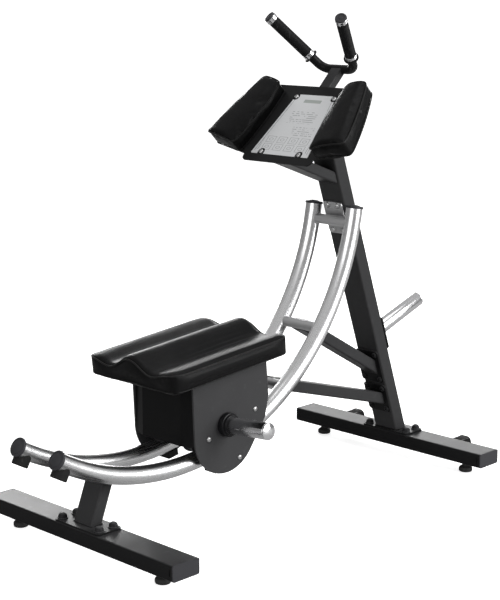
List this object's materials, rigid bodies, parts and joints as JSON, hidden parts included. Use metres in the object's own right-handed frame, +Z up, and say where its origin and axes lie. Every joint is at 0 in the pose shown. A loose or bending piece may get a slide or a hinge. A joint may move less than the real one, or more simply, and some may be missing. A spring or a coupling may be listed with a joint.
{
  "type": "ab crunch machine",
  "caption": "Floor-standing machine whose padded kneeling carriage rolls along two curved rails towards a leaning mast with elbow pads and hand grips.",
  "frame": {"origin": "on the floor, under the middle of the machine's box", "axes": "+Z up, +Y towards the mast and the storage peg, +X to the kneeling user's right"},
  "size_m": [0.79, 1.626, 1.4543],
  "materials": {
    "frame_paint": "semi-matt powder coat",
    "carriage_paint": "satin powder coat",
    "rail_steel": "polished tube with a fine lengthwise grain",
    "chrome": "bright plated",
    "zinc_bolts": "bright zinc",
    "black_bolts": "black oxide, satin",
    "black_plastic": "moulded, semi-matt",
    "rubber": "matt",
    "foot_plastic": "moulded, matt",
    "roller_plastic": "cast urethane, satin",
    "wheel_plastic": "moulded, matt",
    "bush_bronze": "turned bronze",
    "vinyl": "black vinyl upholstery with a fine grain",
    "placard_plate": "printed sheet, satin"
  },
  "bodies": {
    "frame": {"base_plate_bolts": "black_bolts", "base_plates": "frame_paint", "brace_flanges": "frame_paint", "elbow_tray": "frame_paint", "flange_bolts": "black_bolts", "front_stabiliser": "frame_paint", "grip_collars": "chrome", "grip_end_plugs": "black_plastic", "handlebar": "frame_paint", "left_elbow_pad": "vinyl", "left_hand_grip": "rubber", "left_rail": "rail_steel", "lower_brace": "frame_paint", "mast": "frame_paint", "placard": "placard_plate", "rail_cross_tubes": "rail_steel", "rail_end_plugs": "black_plastic", "rail_saddle": "rail_steel", "rail_stops": "rubber", "rail_top_bracket": "rail_steel", "rear_post": "frame_paint", "rear_stabiliser": "frame_paint", "right_elbow_pad": "vinyl", "right_hand_grip": "rubber", "right_rail": "rail_steel", "stabiliser_end_caps": "black_plastic", "storage_peg": "chrome", "storage_peg_cap": "chrome", "storage_peg_flange": "frame_paint", "top_bracket_bolts": "zinc_bolts", "tray_arm": "frame_paint", "tray_bolts": "zinc_bolts", "tray_spine": "frame_paint", "upper_brace": "frame_paint", "wheel_axles": "zinc_bolts", "wheel_brackets": "frame_paint"},
    "carriage": {"left_side_plate": "carriage_paint", "right_side_plate": "carriage_paint", "rear_cover": "carriage_paint", "seat_pan": "carriage_paint", "knee_pad": "vinyl", "roller_bolts": "zinc_bolts", "roller_bushes": "bush_bronze", "travel_bumpers": "rubber", "weight_peg_collar": "black_plastic", "weight_peg": "chrome", "weight_peg_cap": "chrome"},
    "left_front_upper_roller": {"left_front_upper_roller": "roller_plastic"},
    "left_lower_roller": {"left_lower_roller": "roller_plastic"},
    "left_rear_upper_roller": {"left_rear_upper_roller": "roller_plastic"},
    "left_transport_wheel": {"left_transport_wheel": "wheel_plastic"},
    "levelling_foot_front_left": {"levelling_foot_front_left": "foot_plastic"},
    "levelling_foot_front_right": {"levelling_foot_front_right": "foot_plastic"},
    "levelling_foot_rear_left": {"levelling_foot_rear_left": "foot_plastic"},
    "levelling_foot_rear_right": {"levelling_foot_rear_right": "foot_plastic"},
    "right_front_upper_roller": {"right_front_upper_roller": "roller_plastic"},
    "right_lower_roller": {"right_lower_roller": "roller_plastic"},
    "right_rear_upper_roller": {"right_rear_upper_roller": "roller_plastic"},
    "right_transport_wheel": {"right_transport_wheel": "wheel_plastic"}
  },
  "joints": [
    {"name": "carriage_roll", "type": "hinge", "parent": "frame", "child": "carriage", "pos_m": [0, -0.3886, 0.98013], "axis": [1, 0, 0], "range_deg": [-36.8, 45]},
    {"name": "left_rear_upper_roller_spin", "type": "hinge", "parent": "carriage", "child": "left_rear_upper_roller", "pos_m": [-0.083, -0.29125, 0.27872], "axis": [1, 0, 0], "continuous": true},
    {"name": "left_front_upper_roller_spin", "type": "hinge", "parent": "carriage", "child": "left_front_upper_roller", "pos_m": [-0.083, -0.10511, 0.33122], "axis": [1, 0, 0], "continuous": true},
    {"name": "left_lower_roller_spin", "type": "hinge", "parent": "carriage", "child": "left_lower_roller", "pos_m": [-0.083, -0.16848, 0.19965], "axis": [1, 0, 0], "continuous": true},
    {"name": "right_rear_upper_roller_spin", "type": "hinge", "parent": "carriage", "child": "right_rear_upper_roller", "pos_m": [0.083, -0.29125, 0.27872], "axis": [1, 0, 0], "continuous": true},
    {"name": "right_front_upper_roller_spin", "type": "hinge", "parent": "carriage", "child": "right_front_upper_roller", "pos_m": [0.083, -0.10511, 0.33122], "axis": [1, 0, 0], "continuous": true},
    {"name": "right_lower_roller_spin", "type": "hinge", "parent": "carriage", "child": "right_lower_roller", "pos_m": [0.083, -0.16848, 0.19965], "axis": [1, 0, 0], "continuous": true},
    {"name": "left_transport_wheel_spin", "type": "hinge", "parent": "frame", "child": "left_transport_wheel", "pos_m": [-0.23, 0.77094, 0.053], "axis": [1, 0, 0], "continuous": true},
    {"name": "right_transport_wheel_spin", "type": "hinge", "parent": "frame", "child": "right_transport_wheel", "pos_m": [0.23, 0.77094, 0.053], "axis": [1, 0, 0], "continuous": true},
    {"name": "levelling_foot_rear_left_turn", "type": "hinge", "parent": "frame", "child": "levelling_foot_rear_left", "pos_m": [-0.305, -0.63056, 0.02], "axis": [0, 0, 1], "continuous": true},
    {"name": "levelling_foot_rear_right_turn", "type": "hinge", "parent": "frame", "child": "levelling_foot_rear_right", "pos_m": [0.305, -0.63056, 0.02], "axis": [0, 0, 1], "continuous": true},
    {"name": "levelling_foot_front_left_turn", "type": "hinge", "parent": "frame", "child": "levelling_foot_front_left", "pos_m": [-0.305, 0.68644, 0.02], "axis": [0, 0, 1], "continuous": true},
    {"name": "levelling_foot_front_right_turn", "type": "hinge", "parent": "frame", "child": "levelling_foot_front_right", "pos_m": [0.305, 0.68644, 0.02], "axis": [0, 0, 1], "continuous": true}
  ],
  "couplings": [
    {"joint": "left_rear_upper_roller_spin", "follows": "carriage_roll", "ratio": -18.623},
    {"joint": "left_front_upper_roller_spin", "follows": "carriage_roll", "ratio": -18.623},
    {"joint": "right_rear_upper_roller_spin", "follows": "carriage_roll", "ratio": -18.623},
    {"joint": "right_front_upper_roller_spin", "follows": "carriage_roll", "ratio": -18.623}
  ]
}
